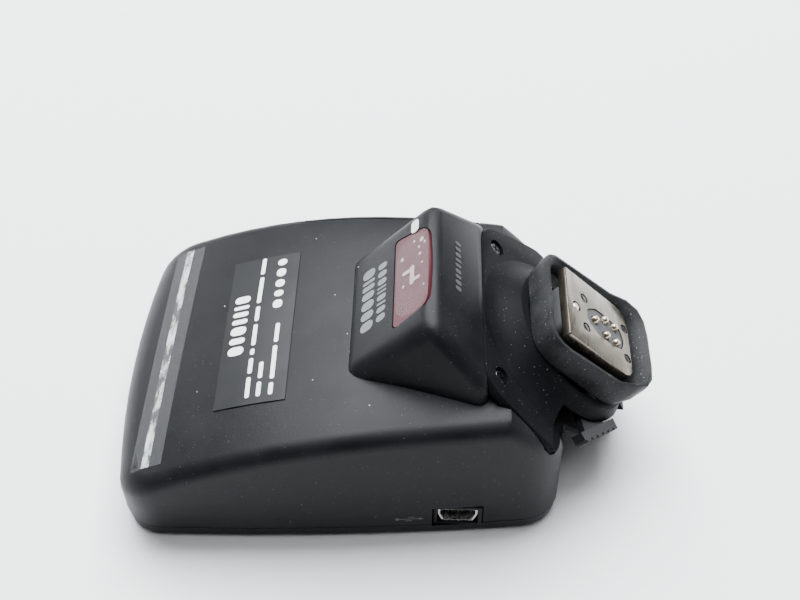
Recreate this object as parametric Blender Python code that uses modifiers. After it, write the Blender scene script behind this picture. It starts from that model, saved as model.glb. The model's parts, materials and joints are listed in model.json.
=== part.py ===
"""Wireless flash trigger: a hot-shoe radio transmitter, lying on its display face.

Blender 4.5, metres, +Z up. Lengths below are in millimetres and are turned into
metres by MM when a mesh is made. X runs along the housing towards the foot end,
where the end face is X_LOCAL = 0. Y runs across it, with the USB port at -Y and the
battery door at +Y. The display face is down. The foot, its neck and its lever live in
a tilted frame whose local X runs down the slope and whose local Z points out of the foot.
"""
import math

import bmesh
import bpy
from mathutils import Vector

MM = 0.001

# Driving dimensions of the housing, mm
LENGTH = 88.5
SEAM_Z = 3.8
SEAM_GAP = 0.3
WALL = 1.8
SEAM_HALF_FAR, SEAM_HALF_FOOT = 33.2, 28.6
EDGE_HALF_FAR, EDGE_HALF_FOOT = 34.6, 27.6
SIDE_BULGE = 1.6
FAR_BULGE, FOOT_BULGE = 3.0, 0.8
CORNER_RADIUS = 6.5
SHOULDER_RADIUS = 3.2
LABEL_TOP = 31.6
LABEL_CREST_X = -20.0
LABEL_FALL, LABEL_FALL_LENGTH, LABEL_FALL_POWER = 12.4, 60.0, 2.3
LABEL_CROWN, SLOPE_CROWN, SLOPE_STEP = 1.2, 0.6, 0.12
BLEND = 0.6
LABEL_X = -61.2

# Foot slope and the head that carries the window, mm and degrees
FOOT_TILT = math.radians(44.0)
RIDGE_X, RIDGE_Z = -26.7, 46.1
WINDOW_BASE_X, WINDOW_BASE_Z = -43.2, 30.0
HEAD_HALF, HEAD_SPREAD_X, HEAD_SPREAD_Z = 21.3, 0.31, -0.22
HEAD_REF_X, HEAD_REF_Z = -25.5, 31.0
HEAD_END_X = -15.5
HEAD_FLOOR_Z = 14.0
HEAD_ROUNDING = 2.8
HEAD_SKIN, SLOPE_SKIN = 1.8, 4.0

# Foot group, mm in the tilted frame (s down the slope, y across, h out of it)
FOOT_S = 35.9
PLATE_FRONT_S = 14.2
PLATE_END_S = 36.4
PLATE_HALF_FRONT = 21.7
PLATE_SPREAD = 0.31
PLATE_CORNER, PLATE_REAR_CORNER = 5.5, 7.5
PLATE_DEPTH = 2.0
PLATE_GAP = 0.2
NECK_TOP_R, NECK_BORE_R, NECK_H = 15.6, 13.4, 4.6
FLARE_R, CHIN_R, CHIN_DEPTH = 21.3, 17.4, 3.2
SLOT_LOW, SLOT_HIGH, SLOT_START, SLOT_END = -1.2, 2.4, -8.0, -97.0
SHOE_WIDTH, SHOE_LENGTH, SHOE_THICK = 18.6, 19.4, 2.0
SHOE_FRONT_S = 26.1
SHOE_TOP_H = 11.4
SHOE_CORNER = 4.0

# Battery bay and door, mm
BAY_X = -37.5
BAY_HALF_LENGTH = 17.2
BAY_FLOOR_Z, BAY_TOP_Z = 8.2, 24.2
BAY_BACK_Y, BAY_MOUTH_Y = -27.3, 25.2
CELL_RADIUS, CELL_BORE = 7.1, 7.4
CELL_PITCH = 16.0
CELL_START_Y, CELL_LENGTH, CELL_NUB = -23.5, 49.2, 1.2
DOOR_X, DOOR_HALF = -35.4, 19.2
DOOR_GAP = 0.25
DOOR_AXIS_Z, DOOR_AXIS_IN = 5.8, 1.6
DOOR_TOP_IN = 2.4

# Display side, mm
RIM_WIDTH, PANEL_Z, PANEL_SKIN = 3.4, 0.7, 0.9
BOARD_Z, BOARD_THICK = 2.9, 1.0
DIAL_X, DIAL_Y, DIAL_R = -22.0, 0.0, 11.0

# The model's box is centred on the origin in X and Y
ORIGIN_SHIFT = 35.21


def mix(a, b, t):
    return a + (b - a) * t


# ---------------------------------------------------------------- scene helpers
def clear_scene():
    for item in list(bpy.data.objects):
        bpy.data.objects.remove(item, do_unlink=True)


def new_collection(name):
    collection = bpy.data.collections.new(name)
    bpy.context.scene.collection.children.link(collection)
    return collection


clear_scene()
PARTS = new_collection("wireless_flash_trigger")
CUTTERS = new_collection("cutters")
MATERIALS = {}

PALETTE = {
    "housing_plastic": ((0.030, 0.031, 0.034), 0.52, 0.0),
    "key_rubber": ((0.055, 0.056, 0.060), 0.70, 0.0),
    "boot_rubber": ((0.018, 0.018, 0.019), 0.62, 0.0),
    "foot_metal": ((0.62, 0.58, 0.50), 0.32, 1.0),
    "window_red": ((0.16, 0.012, 0.020), 0.12, 0.0),
    "lens_clear": ((0.02, 0.022, 0.025), 0.06, 0.0),
    "label_film": ((0.060, 0.062, 0.066), 0.40, 0.0),
    "screw_steel": ((0.10, 0.10, 0.11), 0.38, 1.0),
    "contact_brass": ((0.83, 0.66, 0.36), 0.25, 1.0),
    "nickel": ((0.70, 0.70, 0.69), 0.25, 1.0),
    "board_green": ((0.02, 0.14, 0.06), 0.50, 0.0),
    "cell_wrap": ((0.05, 0.10, 0.32), 0.35, 0.0),
    "inner_plastic": ((0.08, 0.08, 0.085), 0.60, 0.0),
    "led_clear": ((0.75, 0.75, 0.75), 0.15, 0.0),
}


def material(slot):
    if slot not in MATERIALS:
        color, roughness, metallic = PALETTE[slot]
        item = bpy.data.materials.new(slot)
        item.use_nodes = True
        shader = item.node_tree.nodes["Principled BSDF"]
        shader.inputs["Base Color"].default_value = (*color, 1.0)
        shader.inputs["Roughness"].default_value = roughness
        shader.inputs["Metallic"].default_value = metallic
        item.diffuse_color = (*color, 1.0)
        MATERIALS[slot] = item
    return MATERIALS[slot]


def new_empty(name, location, rotation=(0.0, 0.0, 0.0), parent=None):
    item = bpy.data.objects.new(name, None)
    PARTS.objects.link(item)
    item.location = Vector(location) * MM
    item.rotation_euler = rotation
    item.parent = parent
    return item


ORIGIN = new_empty("object_origin", (ORIGIN_SHIFT, 0.0, 0.0))
SLOPE = new_empty("slope_frame", (RIDGE_X, 0.0, RIDGE_Z), (0.0, FOOT_TILT, 0.0), ORIGIN)
FOOT = new_empty("foot_frame", (FOOT_S, 0.0, 0.0), parent=SLOPE)


def add_mesh(name, mesh_data, slot=None, parent=ORIGIN, location=(0.0, 0.0, 0.0)):
    """Link a bmesh as a named part, or as a cutter when it has no material slot."""
    bmesh.ops.recalc_face_normals(mesh_data, faces=mesh_data.faces)
    if mesh_data.calc_volume(signed=True) < 0.0:
        bmesh.ops.reverse_faces(mesh_data, faces=mesh_data.faces)
    mesh = bpy.data.meshes.new(name)
    mesh_data.to_mesh(mesh)
    mesh_data.free()
    item = bpy.data.objects.new(name, mesh)
    item.parent = parent
    item.location = Vector(location) * MM
    if slot is None:
        CUTTERS.objects.link(item)
        item.hide_render = True
        item.display_type = "WIRE"
    else:
        PARTS.objects.link(item)
        mesh.materials.append(material(slot))
    return item


def boolean(item, other, operation):
    modifier = item.modifiers.new(operation.lower(), "BOOLEAN")
    modifier.operation = operation
    modifier.solver = "EXACT"
    modifier.object = other
    return item


def cut(item, cutter):
    return boolean(item, cutter, "DIFFERENCE")


def join(item, other):
    return boolean(item, other, "UNION")


def bevel(item, width, segments=2, angle=math.radians(40.0)):
    modifier = item.modifiers.new("bevel", "BEVEL")
    modifier.width = width * MM
    modifier.segments = segments
    modifier.limit_method = "ANGLE"
    modifier.angle_limit = angle
    return item


def smooth(item, angle=math.radians(35.0)):
    for polygon in item.data.polygons:
        polygon.use_smooth = True
    item.data.set_sharp_from_angle(angle=angle)
    return item


# ---------------------------------------------------------------- shape helpers
def box_mesh(low, high):
    data = bmesh.new()
    bmesh.ops.create_cube(data, size=1.0)
    low, high = Vector(low) * MM, Vector(high) * MM
    for vert in data.verts:
        vert.co = Vector([mix(low[i], high[i], vert.co[i] + 0.5) for i in range(3)])
    return data


def box(name, low, high, slot=None, parent=ORIGIN, location=(0.0, 0.0, 0.0)):
    return add_mesh(name, box_mesh(low, high), slot, parent, location)


def rod(name, radius, low, high, slot=None, parent=ORIGIN, location=(0.0, 0.0, 0.0), sides=24,
        axis="Z", top_radius=None):
    """A round bar along a local axis between two heights."""
    data = bmesh.new()
    bmesh.ops.create_cone(data, cap_ends=True, segments=sides, radius1=radius * MM,
                          radius2=(radius if top_radius is None else top_radius) * MM,
                          depth=(high - low) * MM)
    for vert in data.verts:
        vert.co.z += (low + high) / 2 * MM
        if axis == "Y":
            vert.co = Vector((vert.co.x, vert.co.z, -vert.co.y))
        elif axis == "X":
            vert.co = Vector((vert.co.z, vert.co.y, -vert.co.x))
    return add_mesh(name, data, slot, parent, location)


def prism(name, outline, low, high, slot=None, parent=ORIGIN, location=(0.0, 0.0, 0.0)):
    """A flat outline in local X and Y, extruded along local Z."""
    data = bmesh.new()
    base = [data.verts.new((x * MM, y * MM, low * MM)) for x, y in outline]
    face = data.faces.new(base)
    grown = bmesh.ops.extrude_face_region(data, geom=[face])
    for item in grown["geom"]:
        if isinstance(item, bmesh.types.BMVert):
            item.co.z = high * MM
    return add_mesh(name, data, slot, parent, location)


def turned(name, profile, slot=None, parent=ORIGIN, location=(0.0, 0.0, 0.0), steps=40):
    """A closed profile of (radius, height) points, spun about local Z by a Screw modifier."""
    area = sum(a[0] * b[1] - b[0] * a[1] for a, b in zip(profile, profile[1:] + profile[:1]))
    if area > 0.0:
        profile = profile[::-1]
    data = bmesh.new()
    verts = [data.verts.new((r * MM, 0.0, h * MM)) for r, h in profile]
    pairs = list(zip(verts, verts[1:] + verts[:1]))
    if profile[0][0] < 1e-6 and profile[-1][0] < 1e-6:
        pairs.pop()
    for a, b in pairs:
        data.edges.new((a, b))
    mesh = bpy.data.meshes.new(name)
    data.to_mesh(mesh)
    data.free()
    item = bpy.data.objects.new(name, mesh)
    item.parent = parent
    item.location = Vector(location) * MM
    screw = item.modifiers.new("screw", "SCREW")
    screw.steps = steps
    screw.render_steps = steps
    screw.use_merge_vertices = True
    screw.merge_threshold = 0.00001
    screw.use_smooth_shade = True
    if slot is None:
        CUTTERS.objects.link(item)
        item.hide_render = True
        item.display_type = "WIRE"
    else:
        PARTS.objects.link(item)
        mesh.materials.append(material(slot))
    return item


def arc_points(centre, radius, start, end, steps):
    """Points on an arc, angles in degrees, both ends included."""
    angles = [math.radians(mix(start, end, k / steps)) for k in range(steps + 1)]
    return [(centre[0] + radius * math.cos(a), centre[1] + radius * math.sin(a)) for a in angles]


def rounded_rectangle(half_x, half_y, radius, steps=4, centre=(0.0, 0.0)):
    points = []
    for quarter, (sx, sy) in enumerate([(1, 1), (-1, 1), (-1, -1), (1, -1)]):
        corner = (centre[0] + sx * (half_x - radius), centre[1] + sy * (half_y - radius))
        points += arc_points(corner, radius, 90.0 * quarter, 90.0 * quarter + 90.0, steps)
    return points


def round_corners(outline, radii, steps=4):
    """Replace each corner of a polygon by a quadratic curve that starts a radius away."""
    points = []
    for index, corner in enumerate(outline):
        before = Vector(outline[index - 1])
        after = Vector(outline[(index + 1) % len(outline)])
        corner = Vector(corner)
        radius = radii[index]
        if radius <= 0.0:
            points.append(tuple(corner))
            continue
        start = corner + (before - corner).normalized() * radius
        end = corner + (after - corner).normalized() * radius
        for k in range(steps + 1):
            t = k / steps
            point = start * (1 - t) ** 2 + corner * 2 * t * (1 - t) + end * t * t
            points.append(tuple(point))
    return points


def skin_rings(data, rings, closed=False):
    """Join rings of equal length with quads; a closed set joins the last ring to the first."""
    loops = [[data.verts.new(Vector(point) * MM) for point in ring] for ring in rings]
    count = len(loops[0])
    spans = list(zip(loops, loops[1:]))
    if closed:
        spans.append((loops[-1], loops[0]))
    for lower, upper in spans:
        for k in range(count):
            nxt = (k + 1) % count
            data.faces.new((lower[k], lower[nxt], upper[nxt], upper[k]))
    return loops


# ---------------------------------------------------------------- housing form
SIDE_STATIONS = [-9.0, -11.5, -12.6, -13.4, -15.0] + [-20.0 - 5.8 * k for k in range(11)]


def half_width(x, level):
    """Half the housing's width at x; level 0 is the seam and 1 is the label face's edge."""
    along = min(max(-x / LENGTH, 0.0), 1.0)
    seam = mix(SEAM_HALF_FOOT, SEAM_HALF_FAR, along)
    edge = mix(EDGE_HALF_FOOT, EDGE_HALF_FAR, along)
    return mix(seam, edge, level) + SIDE_BULGE * 4.0 * along * (1.0 - along)


def half_outline(level, inset, every=1):
    """Half of the plan outline, from the middle of the foot end to the middle of the far end."""
    radius = max(CORNER_RADIUS - inset, 1.0)
    ends = ((-inset, -FOOT_BULGE), (-LENGTH + inset, FAR_BULGE))
    foot, far = [], []
    for (x_end, end_bulge), points in zip(ends, (foot, far)):
        inward = math.copysign(1.0, end_bulge)
        corner_x = x_end + end_bulge
        corner_y = half_width(corner_x, level) - inset
        straight = corner_y - radius
        for k in range(5):
            y = straight * k / 4
            points.append((x_end + end_bulge * (y / corner_y) ** 2, y))
        start = Vector(points[-1])
        end = Vector((corner_x + inward * radius, half_width(corner_x + inward * radius, level) - inset))
        control = Vector((corner_x, corner_y))
        weight = math.sqrt(0.5)
        for k in range(1, 6):
            t = k / 5
            parts = ((1 - t) ** 2, 2 * weight * t * (1 - t), t * t)
            point = (start * parts[0] + control * parts[1] + end * parts[2]) / sum(parts)
            points.append(tuple(point))
    side = [(x, half_width(x, level) - inset) for x in SIDE_STATIONS[::every]]
    return foot + side + far[::-1]


def mirrored(half):
    return half + [(x, -y) for x, y in half[-2:0:-1]]


def slope_z(x):
    return RIDGE_Z - (x - RIDGE_X) * math.tan(FOOT_TILT)


def label_z(x):
    fall = max(0.0, LABEL_CREST_X - x) / LABEL_FALL_LENGTH
    return LABEL_TOP - LABEL_FALL * fall ** LABEL_FALL_POWER


def top_z(x, y, label_drop=0.0, slope_drop=0.0):
    """Height of the housing's top: the label face, cut by the slope that carries the foot."""
    across = (y / SEAM_HALF_FAR) ** 2
    label = label_z(x) - LABEL_CROWN * across - label_drop
    slope = slope_z(x) - SLOPE_STEP - SLOPE_CROWN * across - slope_drop
    nearer = max(BLEND - abs(label - slope), 0.0) / BLEND
    return min(label, slope) - nearer * nearer * BLEND * 0.25


def housing_solid(name, inset, label_drop, slope_drop, shoulder, floor_z, slot=None, columns=6, every=1):
    """A closed solid of the housing's outer or inner form; columns and every set how fine it is."""
    data = bmesh.new()
    levels = (0.0, 0.5, 1.0)
    arc_steps = 4 if every == 1 else 2
    rim = [top_z(x, y, label_drop, slope_drop) - shoulder for x, y in half_outline(1.0, inset, every)]
    rows = []
    for level in levels:
        outline = half_outline(level, inset, every)
        rows.append([(x, y, mix(floor_z, z, level)) for (x, y), z in zip(outline, rim)])
    for k in range(1, arc_steps + 1):
        angle = math.radians(90.0 * k / arc_steps)
        outline = half_outline(1.0, inset + shoulder * (1 - math.cos(angle)), every)
        lift = shoulder * (1 - math.sin(angle))
        rows.append([(x, y, top_z(x, y, label_drop, slope_drop) - lift) for x, y in outline])
    rings = [half + [(x, -y, z) for x, y, z in half[-2:0:-1]] for half in rows]
    loops = skin_rings(data, rings)
    for loop, flat in ((loops[0], True), (loops[-1], False)):
        count = len(rows[0])
        rights = loop[:count]
        lefts = [loop[0]] + loop[:count - 1:-1] + [loop[count - 1]]
        previous = None
        for right, left in zip(rights, lefts):
            if right is left:
                line = [right] * (columns + 1)
            else:
                line = [left]
                for k in range(1, columns):
                    x = right.co.x / MM
                    y = mix(left.co.y, right.co.y, k / columns) / MM
                    z = floor_z if flat else top_z(x, y, label_drop, slope_drop)
                    line.append(data.verts.new(Vector((x, y, z)) * MM))
                line.append(right)
            if previous:
                for k in range(columns):
                    corners = [previous[k], previous[k + 1], line[k + 1], line[k]]
                    unique = [c for i, c in enumerate(corners) if c not in corners[:i]]
                    if len(unique) > 2:
                        data.faces.new(unique)
            previous = line
    return add_mesh(name, data, slot)


def head_half(x, z):
    return HEAD_HALF + HEAD_SPREAD_X * (x - HEAD_REF_X) + HEAD_SPREAD_Z * (z - HEAD_REF_Z)


def crossing(point_a, slope_a, point_b, slope_b):
    """Where two lines given by a point and a gradient meet."""
    x = (point_b[1] - point_a[1] + slope_a * point_a[0] - slope_b * point_b[0]) / (slope_a - slope_b)
    return (x, point_a[1] + slope_a * (x - point_a[0]))


WINDOW_ANGLE = math.atan2(RIDGE_Z - WINDOW_BASE_Z, RIDGE_X - WINDOW_BASE_X)


def head_solid(name, skin, slope_skin, rounding, slot=None):
    """The head: a side profile whose two faces lean in, set inwards by a skin."""
    base_x = WINDOW_BASE_X + skin / math.sin(WINDOW_ANGLE)
    ridge_drop = slope_skin / math.cos(FOOT_TILT)
    ridge = crossing((base_x, WINDOW_BASE_Z), math.tan(WINDOW_ANGLE),
                     (RIDGE_X, RIDGE_Z - ridge_drop), -math.tan(FOOT_TILT))
    end_x = HEAD_END_X - skin
    floor_z = HEAD_FLOOR_Z - skin
    profile = [(base_x, floor_z), (base_x, WINDOW_BASE_Z), ridge,
               (end_x, slope_z(end_x) - ridge_drop), (end_x, floor_z)]
    data = bmesh.new()
    sides = []
    for sign in (-1, 1):
        side = []
        for x, z in profile:
            side.append(data.verts.new(Vector((x, sign * (head_half(x, z) - skin), z)) * MM))
        sides.append(side)
        data.faces.new(side)
    for k in range(len(profile)):
        nxt = (k + 1) % len(profile)
        data.faces.new((sides[0][k], sides[0][nxt], sides[1][nxt], sides[1][k]))
    item = add_mesh(name, data, slot)
    if rounding:
        bevel(item, rounding, 3, math.radians(25.0))
    return item


def plan_prism(name, inset, low, high, slot=None):
    return prism(name, mirrored(half_outline(0.0, inset, 3)), low, high, slot)


WINDOW = new_empty("window_frame", (WINDOW_BASE_X, 0.0, WINDOW_BASE_Z), (0.0, -WINDOW_ANGLE, 0.0), ORIGIN)
DOOR_TURN = math.atan2(half_width(DOOR_X + DOOR_HALF, 0.0) - half_width(DOOR_X - DOOR_HALF, 0.0),
                       2.0 * DOOR_HALF)
DOOR = new_empty("door_frame", (DOOR_X, half_width(DOOR_X, 0.0) - DOOR_AXIS_IN, DOOR_AXIS_Z),
                 (0.0, 0.0, DOOR_TURN), ORIGIN)


# ---------------------------------------------------------------- cutters used more than once
def plate_outline(gap):
    """The base plate's edge in the slope frame, grown by a gap."""
    front, end = PLATE_FRONT_S - gap, PLATE_END_S + gap
    half = PLATE_HALF_FRONT + gap
    rear = half + PLATE_SPREAD * (end - front)
    corners = [(end, rear), (front, half), (front, -half), (end, -rear)]
    return round_corners(corners, [PLATE_REAR_CORNER, PLATE_CORNER, PLATE_CORNER, PLATE_REAR_CORNER], 5)


def door_region(name, gap, low):
    """The part of the housing that the battery door takes: a side panel that laps onto the label face."""
    near, far = DOOR_X + DOOR_HALF - gap, DOOR_X - DOOR_HALF + gap
    reach = 45.0
    outline = [(near, half_width(near, 1.0) - DOOR_TOP_IN + gap), (near, reach), (far, reach),
               (far, half_width(far, 1.0) - DOOR_TOP_IN + gap)]
    return prism(name, round_corners(outline, [1.2, 0.0, 0.0, 1.2], 3), low, 45.0)


HEAD = head_solid("head_form", 0.0, 0.0, HEAD_ROUNDING)
INNER = housing_solid("inner_form", WALL, WALL, SLOPE_SKIN / math.cos(FOOT_TILT), 1.6, SEAM_Z - 1.0,
                      columns=4, every=3)
HEAD_INNER = head_solid("head_inner_form", HEAD_SKIN, SLOPE_SKIN, 0.0)
PLATE_POCKET = prism("plate_pocket", plate_outline(PLATE_GAP), -PLATE_DEPTH - PLATE_GAP, 6.0, parent=SLOPE)
STEM_R = 7.0
WIRE_HOLE = rod("wire_hole", 2.4, -9.0, 1.0, parent=FOOT, location=(-5.0, 0.0, 0.0), sides=16)

SCREW_PLACES = [(18.9, -17.7), (18.9, 17.7)]
USB_X, USB_Z = -20.6, 5.95
USB_HALF_WIDTH, USB_HALF_HEIGHT = 3.85, 1.95
BEZEL_HALF_WIDTH, BEZEL_HALF_HEIGHT = 4.8, 2.6
USB_FACE_Y = -half_width(USB_X, 0.0)
SWITCH_X, SWITCH_Z = -71.0, 10.0
SWITCH_FACE_Y = half_width(SWITCH_X, 0.45)
WINDOW_LOW_S, WINDOW_HIGH_S = 12.9, 21.7
WINDOW_HALF_LOW, WINDOW_HALF_HIGH = 12.1, 10.7


def window_outline(grow):
    low, high = WINDOW_LOW_S - grow, WINDOW_HIGH_S + grow
    outline = [(high, -WINDOW_HALF_HIGH - grow), (high + 0.5, 0.0), (high, WINDOW_HALF_HIGH + grow),
               (low, WINDOW_HALF_LOW + grow), (low, -WINDOW_HALF_LOW - grow)]
    return round_corners(outline, [2.4, 6.0, 2.4, 1.4, 1.4], 4)


# ---------------------------------------------------------------- casings
def build_main_shell():
    shell = housing_solid("main_shell", 0.0, 0.0, 0.0, SHOULDER_RADIUS, SEAM_Z, "housing_plastic")
    smooth(shell)
    join(shell, HEAD)
    cut(shell, INNER)
    cut(shell, HEAD_INNER)
    cut(shell, PLATE_POCKET)
    cut(shell, box("chin_opening", (33.0, -FLARE_R - 0.6, -PLATE_DEPTH - 0.35), (60.0, FLARE_R + 0.6, 6.0),
                   parent=SLOPE))
    cut(shell, WIRE_HOLE)
    lug_out = DOOR_HALF + 3.2
    for sign in (-1, 1):
        ends = sorted((sign * (DOOR_HALF + 0.1), sign * lug_out))
        join(shell, box(f"door_lug_{sign}", (ends[0], -2.6, -1.7), (ends[1], 0.6, 1.6), parent=DOOR))
    cut(shell, door_region("door_opening", 0.0, -1.0))
    cut(shell, box("door_hinge_bay", (-DOOR_HALF - 0.05, -3.4, -2.6), (DOOR_HALF + 0.05, 3.0, 2.6), parent=DOOR))
    cut(shell, rod("door_pin_bores", 0.62, 1.0 - lug_out, lug_out - 1.0, parent=DOOR, sides=12, axis="X"))
    cut(shell, prism("window_opening", window_outline(0.2), -2.4, 4.0, parent=WINDOW))
    cut(shell, box("usb_opening", (-BEZEL_HALF_WIDTH - 0.2, -3.0, -BEZEL_HALF_HEIGHT - 0.2),
                   (BEZEL_HALF_WIDTH + 0.2, 8.0, BEZEL_HALF_HEIGHT + 0.2),
                   location=(USB_X, USB_FACE_Y, USB_Z)))
    cut(shell, box("switch_recess", (-5.2, -1.0, -2.6), (5.2, 3.0, 2.6),
                   location=(SWITCH_X, SWITCH_FACE_Y, SWITCH_Z)))
    cut(shell, box("switch_slot", (-3.8, -4.0, -1.3), (3.8, 3.0, 1.3),
                   location=(SWITCH_X, SWITCH_FACE_Y, SWITCH_Z)))
    for index, (s, y) in enumerate(SCREW_PLACES):
        cut(shell, rod(f"screw_bore_{index}", 1.1, -9.0, 0.0, parent=SLOPE, location=(s, y, 0.0), sides=16))
    return shell


def build_battery_door():
    door = housing_solid("battery_door", 0.0, 0.0, 0.0, SHOULDER_RADIUS, SEAM_Z, "housing_plastic")
    smooth(door)
    boolean(door, door_region("door_region", DOOR_GAP, SEAM_Z + 0.35), "INTERSECT")
    cut(door, INNER)
    pad = box("door_pad", (-14.0, -1.9, 5.4), (11.5, 0.3, 15.4), parent=DOOR)
    join(door, pad)
    knuckle = box("door_knuckle", (-DOOR_HALF + 1.0, -1.5, -1.0), (DOOR_HALF - 1.0, 0.4, 1.4), parent=DOOR)
    join(door, knuckle)
    reach = DOOR_HALF + 2.0
    cut(door, rod("door_knuckle_bore", 0.62, -reach, reach, parent=DOOR, sides=12, axis="X"))
    heel = box("door_heel", (-reach, 0.0, -3.0), (reach, 3.0, 3.0), parent=DOOR)
    heel.location = Vector((0.0, 1.8 * math.sqrt(0.5), -1.8 * math.sqrt(0.5))) * MM
    heel.rotation_euler = (math.radians(-45.0), 0.0, 0.0)
    cut(door, heel)
    return door


def build_door_pins():
    for index, sign in enumerate((-1, 1)):
        ends = sorted((sign * (DOOR_HALF - 2.0), sign * (DOOR_HALF + 2.0)))
        rod(f"door_hinge_pin_{index + 1}", 0.5, ends[0], ends[1], "nickel", DOOR, sides=12, axis="X")


PANEL_HOLES = []


def build_display_shell():
    """The tray that holds the display; its rim stands proud of the control panel."""
    half = [half_outline(0.0, inset, 2) for inset in (2.6, 1.2, 0.45, 0.1)]
    heights = (0.0, 0.45, 1.2, SEAM_Z - SEAM_GAP)
    data = bmesh.new()
    rings = [[(x, y, z) for x, y in mirrored(row)] for row, z in zip(half, heights)]
    loops = skin_rings(data, rings)
    data.faces.new(loops[0])
    data.faces.new(loops[-1])
    shell = add_mesh("display_shell", data, "housing_plastic")
    smooth(shell)
    cut(shell, plan_prism("tray_cavity", 2.2, PANEL_Z + PANEL_SKIN, SEAM_Z + 1.0))
    cut(shell, plan_prism("panel_recess", 2.6 + RIM_WIDTH, -1.0, PANEL_Z))
    cut(shell, box("usb_notch", (-BEZEL_HALF_WIDTH - 0.2, -3.0, -BEZEL_HALF_HEIGHT - 0.2),
                   (BEZEL_HALF_WIDTH + 0.2, 4.0, 3.0), location=(USB_X, USB_FACE_Y, USB_Z)))
    for hole in PANEL_HOLES:
        cut(shell, hole)
    return shell


# ---------------------------------------------------------------- display side
LCD_X, LCD_HALF_X, LCD_HALF_Y = -64.5, 15.0, 22.0
KEY_ROW_X = -42.0
GROUP_KEYS = ["a", "b", "c", "d", "e"]
KEY_PITCH = 10.6


def panel_key(name, x, y, half_x, half_y):
    """A push key: a cap through the panel with a flange behind it."""
    low = PANEL_Z - 0.55
    cap = box(name, (-half_x, -half_y, low), (half_x, half_y, 2.0), "key_rubber", location=(x, y, 0.0))
    bevel(cap, 0.25, 2)
    flange_low = PANEL_Z + PANEL_SKIN + 0.08
    flange = box(name + "_flange", (-half_x - 0.6, -half_y - 0.6, flange_low),
                 (half_x + 0.6, half_y + 0.6, 2.25), location=(x, y, 0.0))
    join(cap, flange)
    PANEL_HOLES.append(box(name + "_hole", (-half_x - 0.2, -half_y - 0.2, -1.0),
                           (half_x + 0.2, half_y + 0.2, 3.0), location=(x, y, 0.0)))


def build_keys():
    for index, letter in enumerate(GROUP_KEYS):
        panel_key(f"group_key_{letter}", KEY_ROW_X, (index - 2) * KEY_PITCH, 2.4, 3.9)
    panel_key("menu_key", -28.5, -20.5, 2.2, 3.6)
    panel_key("mode_key", -28.5, 20.5, 2.2, 3.6)
    panel_key("test_button", -14.5, -19.5, 2.2, 3.2)


def build_dial():
    """A ring that turns about its centre, with a set button through the middle."""
    rim, hub = DIAL_R, 4.6
    place = (DIAL_X, DIAL_Y, 0.0)
    under = PANEL_Z + PANEL_SKIN + 0.08
    profile = [(hub, 0.35), (rim - 0.8, 0.15), (rim, 0.5), (rim, under), (rim + 1.0, under),
               (rim + 1.0, 2.5), (hub, 2.5)]
    dial = turned("select_dial", profile, "key_rubber", location=place, steps=28)
    grip = bmesh.new()
    count = 16
    for k in range(count):
        angle = 2.0 * math.pi * k / count
        made = bmesh.ops.create_cone(grip, cap_ends=True, segments=5, radius1=0.5 * MM, radius2=0.5 * MM,
                                     depth=1.6 * MM)
        for vert in made["verts"]:
            vert.co += Vector((rim * math.cos(angle), rim * math.sin(angle), 0.2)) * MM
    cut(dial, add_mesh("dial_grooves", grip, location=place))
    PANEL_HOLES.append(rod("dial_hole", rim + 0.25, -1.0, 3.0, location=place, sides=48))
    button = turned("set_button", [(0.0, 0.3), (3.6, 0.2), (4.0, 0.5), (4.0, 2.3), (0.0, 2.3)],
                    "key_rubber", location=place, steps=28)
    return dial, button


def build_display():
    lens_low, lens_high = PANEL_Z + 0.05, PANEL_Z + PANEL_SKIN
    outline = rounded_rectangle(LCD_HALF_X, LCD_HALF_Y, 2.0, 4, (LCD_X, 0.0))
    prism("lcd_lens", outline, lens_low, lens_high, "lens_clear")
    hole = rounded_rectangle(LCD_HALF_X + 0.15, LCD_HALF_Y + 0.15, 2.1, 4, (LCD_X, 0.0))
    PANEL_HOLES.append(prism("lcd_hole", hole, -1.0, 3.0))
    box("lcd_module", (LCD_X - LCD_HALF_X + 1.0, -LCD_HALF_Y + 1.0, lens_high + 0.15),
        (LCD_X + LCD_HALF_X - 1.0, LCD_HALF_Y - 1.0, BOARD_Z - 0.15), "inner_plastic")
    led_x, led_y = -14.5, 19.5
    rod("status_led", 1.2, PANEL_Z - 0.2, 2.4, "led_clear", location=(led_x, led_y, 0.0), sides=20)
    PANEL_HOLES.append(rod("status_led_hole", 1.35, -1.0, 3.0, location=(led_x, led_y, 0.0), sides=20))


# ---------------------------------------------------------------- electronics
def build_boards():
    board = plan_prism("main_board", 3.2, BOARD_Z, BOARD_Z + BOARD_THICK, "board_green")
    cut(board, box("board_door_relief", (-DOOR_HALF - 4.0, -4.2, -4.0), (DOOR_HALF + 4.0, 3.0, 4.0),
                   parent=DOOR))
    box("radio_shield", (-80.0, -20.0, BOARD_Z + BOARD_THICK + 0.1), (-63.0, 2.0, 7.4), "nickel")
    wire = [(-82.0, 8.0), (-82.0, 24.0), (-70.0, 26.0)]
    strip = bpy.data.curves.new("antenna", "CURVE")
    strip.dimensions = "3D"
    strip.bevel_depth = 0.5 * MM
    strip.bevel_resolution = 2
    strip.use_fill_caps = True
    spline = strip.splines.new("POLY")
    spline.points.add(len(wire) - 1)
    for point, (x, y) in zip(spline.points, wire):
        point.co = (x * MM, y * MM, (BOARD_Z + BOARD_THICK + 1.2) * MM, 1.0)
    item = bpy.data.objects.new("antenna", strip)
    item.parent = ORIGIN
    PARTS.objects.link(item)
    strip.materials.append(material("contact_brass"))


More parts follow.
